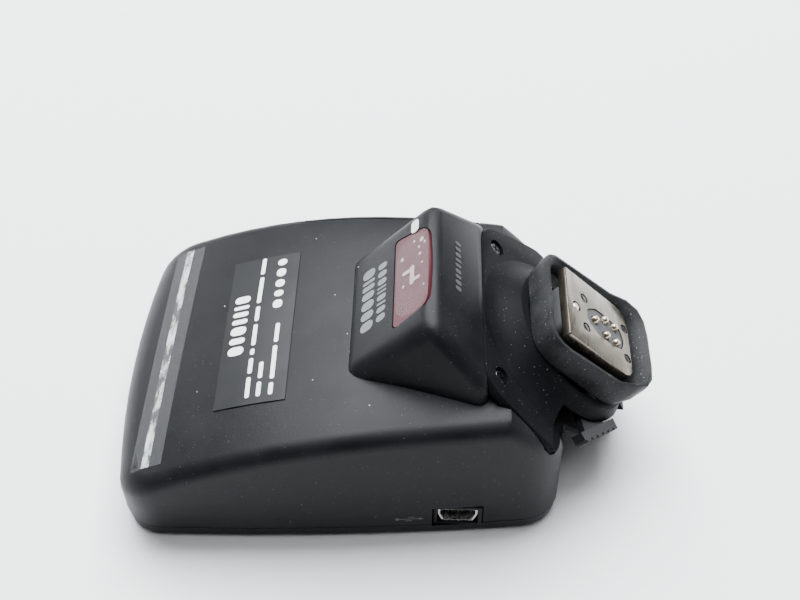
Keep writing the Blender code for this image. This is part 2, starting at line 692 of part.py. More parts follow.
def build_usb_port():
    place = (USB_X, USB_FACE_Y, USB_Z)
    w, h = USB_HALF_WIDTH, USB_HALF_HEIGHT
    outline = [(w, -h), (-w, -h), (-w, -0.2), (-w + 0.9, h), (w - 0.9, h), (w, -0.2)]
    port = prism("usb_connector", outline, 0.5, 9.0, "nickel")
    inner = [(w - 0.4, 0.4 - h), (-w + 0.4, 0.4 - h), (-w + 0.4, -0.3), (-w + 1.15, h - 0.4),
             (w - 1.15, h - 0.4), (w - 0.4, -0.3)]
    hollow = prism("usb_hollow", inner, -2.0, 8.4)
    cut(port, hollow)
    tongue = box("usb_tongue", (-2.6, -0.55, 2.4), (2.6, 0.2, 8.1), "inner_plastic")
    for item in (port, hollow, tongue):
        item.location = Vector(place) * MM
        item.rotation_euler = (math.radians(-90.0), 0.0, 0.0)
    bezel = box("usb_bezel", (-BEZEL_HALF_WIDTH, 0.12, -BEZEL_HALF_HEIGHT),
                (BEZEL_HALF_WIDTH, 1.5, BEZEL_HALF_HEIGHT), "housing_plastic", location=place)
    bevel(bezel, 0.3, 2)
    cut(bezel, box("bezel_hole", (-w - 0.15, -3.0, -h - 0.15), (w + 0.15, 4.0, h + 0.15), location=place))


def build_power_switch():
    place = (SWITCH_X - 1.8, SWITCH_FACE_Y, SWITCH_Z)
    knob = box("power_switch", (-1.7, -2.6, -1.1), (1.7, -0.15, 1.1), "key_rubber", location=place)
    bevel(knob, 0.3, 2)
    box("switch_body", (-4.5, -6.5, -2.2), (4.5, -2.9, 2.2), "inner_plastic",
        location=(SWITCH_X, SWITCH_FACE_Y, SWITCH_Z))


def build_window():
    prism("af_window", window_outline(0.0), -1.6, -0.12, "window_red", WINDOW)
    box("af_board", (12.0, -9.0, -5.4), (17.2, 9.0, -4.6), "board_green", WINDOW)
    for index, y in enumerate((-4.5, 4.5)):
        profile = [(0.0, -4.5), (1.5, -4.5), (1.5, -3.2), (1.1, -2.5), (0.0, -2.2)]
        turned(f"af_emitter_{index + 1}", profile, "led_clear", WINDOW, (14.6, y, 0.0), 16)


def surface_patch(name, centre, half_x, half_y, low, high, slot):
    """A thin rectangular solid that follows the label face."""
    data = bmesh.new()
    columns, rows = 4, 8
    sheets = []
    for lift in (low, high):
        grid = []
        for i in range(columns + 1):
            x = centre + mix(-half_x, half_x, i / columns)
            places = [(x, mix(-half_y, half_y, j / rows)) for j in range(rows + 1)]
            grid.append([data.verts.new(Vector((x, y, top_z(x, y) + lift)) * MM) for x, y in places])
        sheets.append(grid)
        for i in range(columns):
            for j in range(rows):
                data.faces.new((grid[i][j], grid[i + 1][j], grid[i + 1][j + 1], grid[i][j + 1]))
    border = [(0, j) for j in range(rows)] + [(i, rows) for i in range(columns)]
    border += [(columns, j) for j in range(rows, 0, -1)] + [(i, 0) for i in range(columns, 0, -1)]
    for (i0, j0), (i1, j1) in zip(border, border[1:] + border[:1]):
        data.faces.new((sheets[0][i0][j0], sheets[0][i1][j1], sheets[1][i1][j1], sheets[1][i0][j0]))
    return add_mesh(name, data, slot)


# ---------------------------------------------------------------- battery bay
def coil(name, centre, radius, turns, start_y, end_y, slot):
    data = bpy.data.curves.new(name, "CURVE")
    data.dimensions = "3D"
    data.bevel_depth = 0.3 * MM
    data.bevel_resolution = 2
    data.use_fill_caps = True
    spline = data.splines.new("POLY")
    steps = int(turns * 10)
    spline.points.add(steps)
    for k, point in enumerate(spline.points):
        t = k / steps
        angle = 2.0 * math.pi * turns * t
        grown = radius * (1.0 - 0.25 * t)
        x, z = centre[0] + grown * math.cos(angle), centre[1] + grown * math.sin(angle)
        point.co = (x * MM, mix(start_y, end_y, t) * MM, z * MM, 1.0)
    item = bpy.data.objects.new(name, data)
    item.parent = ORIGIN
    PARTS.objects.link(item)
    data.materials.append(material(slot))


def build_battery_bay():
    low = (BAY_X - BAY_HALF_LENGTH, BAY_BACK_Y, BAY_FLOOR_Z)
    high = (BAY_X + BAY_HALF_LENGTH, BAY_MOUTH_Y, BAY_TOP_Z)
    tray = box("battery_tray", low, high, "inner_plastic")
    middle_z = (BAY_FLOOR_Z + BAY_TOP_Z) / 2
    back = BAY_BACK_Y + 1.0
    for index, side in enumerate((-1, 1)):
        x = BAY_X + side * CELL_PITCH / 2
        cut(tray, rod(f"cell_bore_{index}", CELL_BORE, back, 40.0, location=(x, 0.0, middle_z), sides=32,
                      axis="Y"))
        profile = [(0.0, 0.0), (CELL_RADIUS - 0.5, 0.0), (CELL_RADIUS, 0.4), (CELL_RADIUS, CELL_LENGTH - 0.4),
                   (CELL_RADIUS - 0.5, CELL_LENGTH), (2.7, CELL_LENGTH), (2.7, CELL_LENGTH + CELL_NUB),
                   (0.0, CELL_LENGTH + CELL_NUB)]
        cell = turned(f"battery_cell_{index + 1}", profile, "cell_wrap", steps=20)
        if side < 0:
            cell.location = Vector((x, CELL_START_Y + CELL_LENGTH, middle_z)) * MM
            cell.rotation_euler = (math.radians(90.0), 0.0, 0.0)
        else:
            cell.location = Vector((x, CELL_START_Y, middle_z)) * MM
            cell.rotation_euler = (math.radians(-90.0), 0.0, 0.0)
        box(f"back_contact_{index + 1}", (x - 4.0, back + 0.1, middle_z - 4.0),
            (x + 4.0, back + 0.6, middle_z + 4.0), "nickel")
    spring_x = BAY_X + CELL_PITCH / 2
    coil("back_spring", (spring_x, middle_z), 3.0, 2.5, back + 0.95, CELL_START_Y - 0.35, "nickel")
    box("door_contact", (-14.0, -2.7, 6.0), (11.5, -2.1, 14.8), "nickel", DOOR)


# ---------------------------------------------------------------- foot
def ring_sector(name, inner, outer, start, end, low, high):
    """A cutter about the foot's axis: part of a ring between two angles in degrees."""
    outline = arc_points((0.0, 0.0), inner, start, end, 8) + arc_points((0.0, 0.0), outer, end, start, 8)
    return prism(name, outline, low, high, parent=FOOT)


def build_foot_base():
    base = prism("foot_base", plate_outline(0.0), -PLATE_DEPTH, 0.0, "housing_plastic", SLOPE)
    bevel(base, 0.35, 2, math.radians(60.0))
    flare = [(0.0, -CHIN_DEPTH), (CHIN_R - 2.0, -CHIN_DEPTH), (CHIN_R, -CHIN_DEPTH + 0.6), (19.4, -1.6),
             (FLARE_R - 0.6, -0.6), (FLARE_R, 0.03), (19.8, 0.5), (18.5, 1.25), (17.3, 2.3), (16.4, 3.5),
             (NECK_TOP_R + 0.2, NECK_H), (NECK_TOP_R - 0.2, NECK_H + 0.2), (NECK_BORE_R + 0.4, NECK_H + 0.2),
             (NECK_BORE_R, NECK_H - 0.2), (NECK_BORE_R, 0.02), (0.0, 0.02)]
    neck = turned("neck_form", flare, parent=FOOT, steps=40)
    housing_space = box("housing_space", (-60.0, -40.0, -5.0), (0.35, 40.0, 60.0))
    cut(housing_space, box("pocket_space", (-60.0, -50.0, 0.1 - PLATE_DEPTH), (60.0, 50.0, 60.0), parent=FOOT))
    cut(neck, housing_space)
    join(base, neck)
    cut(base, WIRE_HOLE)
    cut(base, ring_sector("lever_slot", 12.8, 30.0, SLOT_START, SLOT_END, SLOT_LOW, SLOT_HIGH))
    cut(base, ring_sector("tab_clearance", CHIN_R + 0.1, 30.0, SLOT_START, -84.0, -4.0, SLOT_LOW + 0.2))
    for index, (s, y) in enumerate(SCREW_PLACES):
        place = (s, y, 0.0)
        cut(base, rod(f"screw_well_{index}", 1.9, -1.2, 3.0, parent=SLOPE, location=place, sides=24))
        cut(base, rod(f"screw_hole_{index}", 1.05, -4.0, 0.0, parent=SLOPE, location=place, sides=16))
        head = turned(f"base_screw_{index + 1}",
                      [(0.0, -6.0), (0.85, -6.0), (0.85, -1.12), (1.6, -1.12), (1.6, -0.7), (1.2, -0.4),
                       (0.0, -0.4)], "screw_steel", SLOPE, place, 14)
        arm, half = 1.0, 0.2
        plus = [(arm, half), (half, half), (half, arm), (-half, arm), (-half, half), (-arm, half),
                (-arm, -half), (-half, -half), (-half, -arm), (half, -arm), (half, -half), (arm, -half)]
        cut(head, prism(f"screw_cross_{index}", plus, -0.8, 0.2, parent=SLOPE, location=place))
    return base


def build_stem():
    profile = [(0.0, 0.15), (STEM_R, 0.15), (STEM_R, 2.8), (0.0, 2.8)]
    stem = turned("foot_stem", profile, "inner_plastic", FOOT, steps=32)
    join(stem, prism("stem_block", rounded_rectangle(9.6, 6.1, 1.6), 2.75, 9.3, parent=FOOT))
    cut(stem, rod("stem_channel", 3.6, -8.0, 6.0, parent=FOOT, sides=24))
    cut(stem, prism("pin_chamber", rounded_rectangle(5.1, 3.0, 1.0, 3, (1.6, 0.0)), 5.0, 11.0, parent=FOOT))
    cut(stem, rod("lock_pin_bore", 1.15, 1.0, 11.0, parent=FOOT, location=LOCK_PLACE, sides=20))
    for index, place in enumerate(FOOT_SCREWS):
        cut(stem, rod(f"foot_screw_bore_{index}", 0.65, 6.0, 11.0, parent=FOOT, location=place, sides=12))
    return stem


LOCK_PLACE = (-7.0, 0.0, 0.0)
FOOT_SCREWS = [(-4.4, -4.0, 0.0), (-4.4, 4.0, 0.0), (8.2, -4.1, 0.0), (8.2, 4.1, 0.0)]
CONTACT_PLACES = [(-1.5, 0.0), (1.7, -2.1), (1.7, 2.1), (4.7, -2.1), (4.7, 2.1)]


def insulator_outline(grow):
    outline = [(-3.6 - grow, -1.5), (-1.0, -3.3 - grow), (3.0, -3.4 - grow), (6.6, -2.6 - grow),
               (7.4 + grow, 0.0), (6.6, 2.6 + grow), (3.0, 3.4 + grow), (-1.0, 3.3 + grow), (-3.6 - grow, 1.5)]
    return round_corners(outline, [0.8] * len(outline), 2)


def build_shoe():
    """The metal shoe plate with its insulator, contacts, locking pin and screws."""
    front, rear = SHOE_FRONT_S - FOOT_S, SHOE_FRONT_S - FOOT_S + SHOE_LENGTH
    half = SHOE_WIDTH / 2
    corners = [(rear, half), (front, half), (front, -half), (rear, -half)]
    outline = round_corners(corners, [SHOE_CORNER, 0.5, 0.5, SHOE_CORNER], 4)
    plate = prism("shoe_plate", outline, SHOE_TOP_H - SHOE_THICK, SHOE_TOP_H, "foot_metal", FOOT)
    bevel(plate, 0.2, 2, math.radians(60.0))
    cut(plate, prism("insulator_opening", insulator_outline(0.2), 5.0, 14.0, parent=FOOT))
    cut(plate, rod("lock_pin_opening", 1.15, 5.0, 14.0, parent=FOOT, location=LOCK_PLACE, sides=20))
    for index, place in enumerate(FOOT_SCREWS):
        cut(plate, rod(f"foot_screw_opening_{index}", 1.1, 5.0, 14.0, parent=FOOT, location=place, sides=20))
        profile = [(0.0, 6.6), (0.5, 6.6), (0.5, 10.6), (0.95, 10.6), (0.95, 11.2), (0.7, 11.35), (0.0, 11.35)]
        turned(f"shoe_screw_{index + 1}", profile, "screw_steel", FOOT, place, 10)
    holder = prism("contact_insulator", insulator_outline(0.0), 9.42, 11.2, "inner_plastic", FOOT)
    for index, (x, y) in enumerate(CONTACT_PLACES):
        cut(holder, rod(f"contact_bore_{index}", 1.0, 5.0, 14.0, parent=FOOT, location=(x, y, 0.0), sides=16))
        turned(f"contact_pin_{index + 1}", [(0.0, 8.6), (0.85, 8.6), (0.85, 11.7), (0.6, 12.1), (0.0, 12.2)],
               "contact_brass", FOOT, (x, y, 0.0), 12)
    turned("locking_pin", [(0.0, 2.9), (0.95, 2.9), (0.95, 11.1), (0.7, 11.35), (0.0, 11.35)], "nickel",
           FOOT, LOCK_PLACE, 16)


def boot_outline(front, rear, half_y, front_corner, rear_corner):
    corners = [(rear, half_y), (-front, half_y), (-front, -half_y), (rear, -half_y)]
    return round_corners(corners, [rear_corner, front_corner, front_corner, rear_corner], 4)


def build_boot():
    """The soft skirt around the shoe: its rear lip stands higher than its front."""
    rows = [(13.6, 12.6, 12.4, 6.0, 7.0, 4.95, 0.0), (13.9, 13.4, 12.9, 5.5, 7.5, 7.5, 1.0),
            (14.0, 13.6, 12.9, 5.0, 8.5, 9.7, 2.7), (13.8, 13.4, 12.6, 4.8, 8.2, 10.3, 3.1),
            (13.2, 12.9, 12.0, 4.4, 7.8, 10.4, 3.1), (12.5, 12.3, 11.3, 3.6, 7.0, 9.8, 2.7),
            (12.1, 11.9, 10.9, 3.2, 6.6, 9.5, 2.3), (11.9, 11.4, 10.5, 3.0, 6.0, 8.4, 0.6),
            (11.6, 11.0, 10.2, 2.8, 5.6, 7.6, 0.0), (10.1, 10.1, 6.6, 2.0, 2.0, 7.3, 0.0),
            (10.0, 10.0, 6.5, 2.0, 2.0, 4.95, 0.0)]
    rings = []
    for front, rear, half_y, front_corner, rear_corner, height, rise in rows:
        ring = []
        for x, y in boot_outline(front, rear, half_y, front_corner, rear_corner):
            t = min(max((x - 1.0) / 12.0, 0.0), 1.0)
            ring.append((x, y, height + rise * t * t * (3.0 - 2.0 * t)))
        rings.append(ring)
    data = bmesh.new()
    skin_rings(data, rings, closed=True)
    return smooth(add_mesh("rubber_boot", data, "boot_rubber", FOOT))


def build_lever():
    """The lock lever: a ring around the stem, an arm through the slot and a ribbed thumb tab."""
    lever = turned("lock_lever", [(7.4, 0.35), (12.3, 0.35), (12.3, 2.3), (7.4, 2.3)], "housing_plastic",
                   FOOT, steps=40)
    arm = [(1.5, -11.0), (8.0, -8.4), (11.2, -14.5), (4.65, -20.6)]
    join(lever, prism("lever_arm", arm, 0.5, 2.0, parent=FOOT))
    tip, heel = Vector((13.8, -14.0)), Vector((2.9, -24.1))
    along = (heel - tip).normalized()
    inward = Vector((-along.y, along.x))
    if inward.dot(tip) > 0:
        inward = -inward
    length = (heel - tip).length
    outline = []
    ribs = 6
    for k in range(ribs):
        start = length * (k + 0.1) / ribs
        stop = length * (k + 0.62) / ribs
        rest = length * (k + 0.72) / ribs
        end = length * (k + 1.0) / ribs
        for distance, depth in ((start, 0.0), (stop, 0.0), (rest, 0.5), (end, 0.5)):
            outline.append(tuple(tip + along * distance + inward * depth))
    outline += [tuple(heel + inward * 2.2), tuple(tip + inward * 2.2)]
    join(lever, prism("lever_tab", outline, 0.9, 3.3, parent=FOOT))
    return lever


build_keys()
build_dial()
build_display()
build_main_shell()
build_battery_door()
build_door_pins()
build_display_shell()
build_boards()
build_usb_port()
build_power_switch()
build_window()
surface_patch("rating_label", LABEL_X, 7.0, 20.4, 0.08, 0.22, "label_film")
build_battery_bay()
build_foot_base()
build_stem()
build_shoe()
build_boot()
build_lever()
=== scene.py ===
"""Looks for the wireless flash trigger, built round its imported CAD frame.

Every place comes from the frame: the boxes and skins of its nodes, and the tilted plane of its
window. Lengths are in metres. The object lies on its display face, with the USB port at -Y
and the foot towards +X.
"""
import json
import math

import bmesh
import bpy
from mathutils import Matrix, Vector


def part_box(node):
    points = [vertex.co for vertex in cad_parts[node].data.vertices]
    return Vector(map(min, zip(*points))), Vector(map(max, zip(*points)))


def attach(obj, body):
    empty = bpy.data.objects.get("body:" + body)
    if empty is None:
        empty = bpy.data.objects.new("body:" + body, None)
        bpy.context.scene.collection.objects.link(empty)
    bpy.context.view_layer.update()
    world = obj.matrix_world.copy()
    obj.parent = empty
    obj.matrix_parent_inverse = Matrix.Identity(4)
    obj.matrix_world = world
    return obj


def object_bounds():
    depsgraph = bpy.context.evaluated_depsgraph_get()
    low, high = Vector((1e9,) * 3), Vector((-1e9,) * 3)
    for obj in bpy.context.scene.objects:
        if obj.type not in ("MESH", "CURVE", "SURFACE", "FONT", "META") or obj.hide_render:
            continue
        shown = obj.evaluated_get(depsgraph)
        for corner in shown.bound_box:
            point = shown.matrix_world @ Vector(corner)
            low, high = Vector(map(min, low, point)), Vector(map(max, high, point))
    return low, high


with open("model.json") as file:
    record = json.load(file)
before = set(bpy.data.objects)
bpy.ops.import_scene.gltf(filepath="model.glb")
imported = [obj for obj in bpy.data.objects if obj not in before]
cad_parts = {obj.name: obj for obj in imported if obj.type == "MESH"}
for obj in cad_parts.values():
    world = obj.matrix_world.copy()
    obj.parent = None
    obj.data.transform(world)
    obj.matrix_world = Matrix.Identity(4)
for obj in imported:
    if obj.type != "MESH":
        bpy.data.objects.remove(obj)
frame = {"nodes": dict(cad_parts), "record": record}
CAD_LOW, CAD_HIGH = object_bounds()

HOUSING = "housing"
UP_FROM = 0.01                 # how far outside the object a ray for the skin starts
INK_THICK = 0.00002            # thickness of a printed mark
LABEL_INK_LIFT = 0.00003       # ink above the label
HEAD_INK_LIFT = 0.00012        # ink above the window's plane
SLOPE_INK_LIFT = 0.00006       # ink above the sloped foot face
SHARP_ANGLE = 34.0             # edges over this many degrees stay sharp
WELD_DISTANCE = 0.000002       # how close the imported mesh's split vertices are joined


def mix(a, b, t):
    return a + (b - a) * t


# ---------------------------------------------------------------- a plane found from the frame
def largest_flat_normal(node):
    """The normal that most of a node's surface shares."""
    mesh = frame["nodes"][node].data
    areas = {}
    for polygon in mesh.polygons:
        key = tuple(round(value, 2) for value in polygon.normal)
        areas[key] = areas.get(key, 0.0) + polygon.area
    return Vector(max(areas, key=areas.get)).normalized()


def plane_frame(node, upward):
    """A matrix on a node's outer face: Z along its normal, Y across the object, X completing them."""
    normal = largest_flat_normal(node)
    if normal.dot(upward) < 0.0:
        normal = -normal
    across = Vector((0.0, 1.0, 0.0))
    along = across.cross(normal).normalized()
    corners = [vertex.co for vertex in frame["nodes"][node].data.vertices]
    top = max(corner.dot(normal) for corner in corners)
    low = min(corner.dot(along) for corner in corners)
    high = max(corner.dot(along) for corner in corners)
    origin = normal * top + along * (low + high) / 2
    matrix = Matrix((along, across, normal)).transposed().to_4x4()
    matrix.translation = origin
    return matrix


WINDOW_PLANE = plane_frame("af_window", Vector((-1.0, 0.0, 1.0)))


# ---------------------------------------------------------------- node graph helpers
class Graph:
    """A small builder for one material's node tree."""

    def __init__(self, name, color, roughness, metallic=0.0, **sockets):
        self.material = bpy.data.materials.new(name)
        self.material.use_nodes = True
        self.nodes = self.material.node_tree.nodes
        self.links = self.material.node_tree.links
        self.shader = self.nodes["Principled BSDF"]
        self.shader.inputs["Base Color"].default_value = (*color, 1.0)
        self.shader.inputs["Roughness"].default_value = roughness
        self.shader.inputs["Metallic"].default_value = metallic
        for socket, value in sockets.items():
            self.shader.inputs[socket.replace("_", " ")].default_value = value
        self.material.diffuse_color = (*color, 1.0)
        self.position = self.add("ShaderNodeNewGeometry").outputs["Position"]

    def add(self, kind, inputs=(), **settings):
        node = self.nodes.new(kind)
        for key, value in settings.items():
            setattr(node, key, value)
        for socket, value in dict(inputs).items():
            if isinstance(value, bpy.types.NodeSocket):
                self.links.new(value, node.inputs[socket])
            else:
                node.inputs[socket].default_value = value
        return node

    def noise(self, scale, detail=3.0, roughness=0.55, stretch=None):
        vector = self.position
        if stretch:
            vector = self.add("ShaderNodeVectorMath", {0: self.position, 1: stretch},
                              operation="MULTIPLY").outputs[0]
        node = self.add("ShaderNodeTexNoise", {"Vector": vector, "Scale": scale, "Detail": detail,
                                               "Roughness": roughness})
        return node.outputs["Fac"]

    def ramp(self, value, low, high, start, end):
        node = self.add("ShaderNodeMapRange", {"Value": value, "From Min": low, "From Max": high,
                                               "To Min": start, "To Max": end})
        return node.outputs["Result"]

    def blend(self, factor, first, second):
        node = self.add("ShaderNodeMix", data_type="RGBA")
        self.links.new(factor, node.inputs["Factor"])
        for socket, value in (("A", first), ("B", second)):
            target = [item for item in node.inputs if item.name == socket and item.type == "RGBA"][0]
            if isinstance(value, bpy.types.NodeSocket):
                self.links.new(value, target)
            else:
                target.default_value = (*value, 1.0)
        return [item for item in node.outputs if item.type == "RGBA"][0]

    def math(self, operation, first, second=0.0):
        return self.add("ShaderNodeMath", {0: first, 1: second}, operation=operation).outputs[0]

    def bump(self, height, distance, strength=1.0):
        node = self.add("ShaderNodeBump", {"Height": height, "Distance": distance,
                                           "Strength": strength})
        return node.outputs["Normal"]

    def drive(self, socket, value):
        self.links.new(value, self.shader.inputs[socket])


def textured_plastic(name, color, roughness, grain, depth, dust=0.0, specular=0.12):
    """Moulded plastic: a fine spark-eroded grain, soft blotches of polish and a little dust."""
    graph = Graph(name, color, roughness, Specular_IOR_Level=specular)
    blotch = graph.noise(90.0, 4.0)
    fine = graph.noise(grain, 2.0, 0.6)
    coarse = graph.noise(grain * 0.35, 3.0, 0.6)
    lighter = tuple(min(channel * 1.35 + 0.002, 1.0) for channel in color)
    tone = graph.blend(graph.ramp(blotch, 0.35, 0.7, 0.0, 1.0), color, lighter)
    if dust:
        speck = graph.ramp(graph.noise(2600.0, 1.0, 0.5), 0.74, 0.78, 0.0, dust)
        tone = graph.blend(speck, tone, (0.32, 0.32, 0.31))
    graph.drive("Base Color", tone)
    graph.drive("Roughness", graph.ramp(blotch, 0.3, 0.7, roughness - 0.05, roughness + 0.06))
    height = graph.math("ADD", graph.math("MULTIPLY", coarse, 0.6), fine)
    graph.drive("Normal", graph.bump(height, depth))
    return graph.material


def soft_rubber(name, color, roughness):
    """Silicone rubber: satin, with a faint bloom and fine dust."""
    graph = Graph(name, color, roughness, Specular_IOR_Level=0.09)
    bloom = graph.noise(220.0, 5.0, 0.6)
    paler = tuple(min(channel * 1.6 + 0.006, 1.0) for channel in color)
    tone = graph.blend(graph.ramp(bloom, 0.4, 0.72, 0.0, 1.0), color, paler)
    speck = graph.ramp(graph.noise(3000.0, 1.0, 0.5), 0.72, 0.77, 0.0, 0.7)
    graph.drive("Base Color", graph.blend(speck, tone, (0.30, 0.30, 0.29)))
    graph.drive("Roughness", graph.ramp(bloom, 0.3, 0.7, roughness - 0.08, roughness + 0.08))
    graph.drive("Normal", graph.bump(graph.noise(1500.0, 2.0), 0.00003))
    return graph.material


def plated_metal(name, color, roughness, stretch, tarnish):
    """Plated metal with fine drawn lines along one direction and a little tarnish."""
    graph = Graph(name, color, roughness, 1.0)
    lines = graph.noise(900.0, 3.0, 0.6, stretch)
    stain = graph.noise(260.0, 4.0)
    tone = graph.blend(graph.ramp(stain, 0.42, 0.72, 0.0, 1.0), color, tarnish)
    graph.drive("Base Color", tone)
    graph.drive("Roughness", graph.ramp(lines, 0.3, 0.7, roughness - 0.06, roughness + 0.10))
    graph.drive("Normal", graph.bump(lines, 0.000012))
    return graph.material


def clear_plastic(name, color, roughness, transmission, specular=0.5):
    """Clear or tinted gloss plastic, very slightly wavy."""
    graph = Graph(name, color, roughness, Transmission_Weight=transmission, IOR=1.49,
                  Specular_IOR_Level=specular)
    wave = graph.noise(160.0, 2.0)
    graph.drive("Roughness", graph.ramp(wave, 0.3, 0.7, roughness, roughness + 0.04))
    graph.drive("Normal", graph.bump(wave, 0.00002, 0.4))
    return graph.material


def solder_board(name, color):
    """A printed board: green mask with paler tracks under it."""
    graph = Graph(name, color, 0.42, Coat_Weight=0.3, Coat_Roughness=0.2)
    cells = graph.add("ShaderNodeTexBrick", {"Vector": graph.position, "Scale": 260.0,
                                             "Mortar Size": 0.035, "Color1": (*color, 1.0),
                                             "Color2": (color[0] * 1.3, color[1] * 1.1, color[2], 1.0),
                                             "Mortar": (0.05, 0.26, 0.12, 1.0)})
    graph.drive("Base Color", cells.outputs["Color"])
    graph.drive("Normal", graph.bump(cells.outputs["Fac"], 0.00004))
    return graph.material


def cell_sleeve(name):
    """A printed cell sleeve: a band at one end in another tone, with steel at both ends."""
    graph = Graph(name, (0.05, 0.10, 0.32), 0.3, 0.3)
    split = graph.add("ShaderNodeSeparateXYZ", {0: graph.position}).outputs["Y"]
    low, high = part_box("battery_cell_1")
    band = graph.math("LESS_THAN", split, mix(low.y, high.y, 0.28))
    tone = graph.blend(band, (0.05, 0.10, 0.32), (0.72, 0.55, 0.16))
    ends = graph.math("GREATER_THAN", graph.math("ABSOLUTE", graph.math("SUBTRACT", split,
                      (low.y + high.y) / 2)), (high.y - low.y) / 2 - 0.0021)
    graph.drive("Base Color", graph.blend(ends, tone, (0.62, 0.62, 0.60)))
    graph.drive("Roughness", graph.ramp(graph.noise(200.0), 0.3, 0.7, 0.22, 0.36))
    return graph.material


def printed_film(name, color, roughness):
    """Printed film or ink with slight cockling."""
    graph = Graph(name, color, roughness, Specular_IOR_Level=0.16)
    wave = graph.noise(120.0, 3.0)
    graph.drive("Roughness", graph.ramp(wave, 0.3, 0.7, roughness - 0.05, roughness + 0.08))
    graph.drive("Normal", graph.bump(wave, 0.00008, 0.5))
    return graph.material


def smoothing_group():
    """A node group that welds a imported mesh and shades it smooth, except at its sharp edges."""
    group = bpy.data.node_groups.new("smooth_by_angle", "GeometryNodeTree")
    group.interface.new_socket("Geometry", in_out="INPUT", socket_type="NodeSocketGeometry")
    group.interface.new_socket("Geometry", in_out="OUTPUT", socket_type="NodeSocketGeometry")
    nodes, links = group.nodes, group.links
    start, end = nodes.new("NodeGroupInput"), nodes.new("NodeGroupOutput")
    bare = nodes.new("GeometryNodeRemoveAttribute")
    bare.inputs["Name"].default_value = "custom_normal"
    weld = nodes.new("GeometryNodeMergeByDistance")
    weld.inputs["Distance"].default_value = WELD_DISTANCE
    smooth = nodes.new("GeometryNodeSetShadeSmooth")
    sharp = nodes.new("GeometryNodeSetShadeSmooth")
    sharp.domain = "EDGE"
    sharp.inputs["Shade Smooth"].default_value = False
    angle = nodes.new("GeometryNodeInputMeshEdgeAngle")
    limit = nodes.new("FunctionNodeCompare")
    limit.operation = "GREATER_THAN"
    limit.inputs[1].default_value = math.radians(SHARP_ANGLE)
    links.new(start.outputs[0], bare.inputs["Geometry"])
    links.new(bare.outputs[0], weld.inputs["Geometry"])
    links.new(weld.outputs[0], smooth.inputs["Geometry"])
    links.new(smooth.outputs[0], sharp.inputs["Geometry"])
    links.new(angle.outputs["Unsigned Angle"], limit.inputs[0])
    links.new(limit.outputs[0], sharp.inputs["Selection"])
    links.new(sharp.outputs[0], end.inputs[0])
    return group


def paint_frame():
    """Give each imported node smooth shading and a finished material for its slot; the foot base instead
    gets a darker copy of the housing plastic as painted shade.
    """
    smoothing = smoothing_group()
    along_x, along_y, along_z = (0.08, 1.0, 1.0), (1.0, 0.08, 1.0), (1.0, 1.0, 0.08)
    finishes = {
        "housing_plastic": textured_plastic("housing_plastic", (0.0042, 0.0045, 0.0054), 0.42, 2100.0,
                                            0.000022, 0.16),
        "key_rubber": soft_rubber("key_rubber", (0.055, 0.056, 0.060), 0.62),
        "boot_rubber": soft_rubber("boot_rubber", (0.0135, 0.014, 0.015), 0.46),
        "foot_metal": plated_metal("foot_metal", (0.25, 0.225, 0.185), 0.30, along_y, (0.18, 0.158, 0.122)),
        "lens_clear": clear_plastic("lens_clear", (0.012, 0.014, 0.017), 0.05, 0.0),
        "window_red": clear_plastic("window_red", (0.060, 0.013, 0.018), 0.16, 0.0, 0.15),
        "label_film": printed_film("label_film", (0.010, 0.0105, 0.0115), 0.36),
        "screw_steel": plated_metal("screw_steel", (0.075, 0.075, 0.08), 0.34, along_x, (0.05, 0.05, 0.05)),
        "contact_brass": plated_metal("contact_brass", (0.56, 0.49, 0.38), 0.24, along_z,
                                      (0.44, 0.36, 0.26)),
        "nickel": plated_metal("nickel", (0.66, 0.65, 0.63), 0.24, along_y, (0.55, 0.53, 0.50)),
        "board_green": solder_board("board_green", (0.02, 0.13, 0.06)),
        "cell_wrap": cell_sleeve("cell_wrap"),
        "inner_plastic": textured_plastic("inner_plastic", (0.055, 0.055, 0.058), 0.52, 2600.0, 0.00003),
        "led_clear": clear_plastic("led_clear", (0.80, 0.80, 0.80), 0.08, 0.6),
    }
    # A darker, less glossy copy of the housing plastic for the foot base: its darker colour is painted
    # shade, and its specks are dust.
    shaded_foot_copy = textured_plastic("foot_plastic_painted_shade", (0.0036, 0.0038, 0.0044), 0.50, 2100.0, 0.00002, 0.3, 0.03)
    for entry in frame["record"]["subparts"]:
        target = frame["nodes"][entry["node"]]
        target.data.materials.clear()
        finish = shaded_foot_copy if entry["node"] == "foot_base" else finishes[entry["material_slot"]]
        target.data.materials.append(finish)
        target.modifiers.new("smooth_by_angle", "NODES").node_group = smoothing


paint_frame()


# ---------------------------------------------------------------- pieces
def add_piece(name, data, finish, body=HOUSING):
    """A new piece from a bmesh in frame coordinates, riding on a body."""
    bmesh.ops.recalc_face_normals(data, faces=data.faces)
    mesh = bpy.data.meshes.new(name)
    data.to_mesh(mesh)
    data.free()
    piece = bpy.data.objects.new(name, mesh)
    bpy.context.scene.collection.objects.link(piece)
    mesh.materials.append(finish)
    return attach(piece, body)


def skin_hit(x, y, node="main_shell"):
    """The place and normal of a node's outer skin under a point seen from above."""
    above = Vector((x, y, CAD_HIGH.z + UP_FROM))
    hit, place, normal, _ = frame["nodes"][node].ray_cast(above, Vector((0.0, 0.0, -1.0)))
    if not hit:
        raise RuntimeError("no skin under this point")
    return place, normal


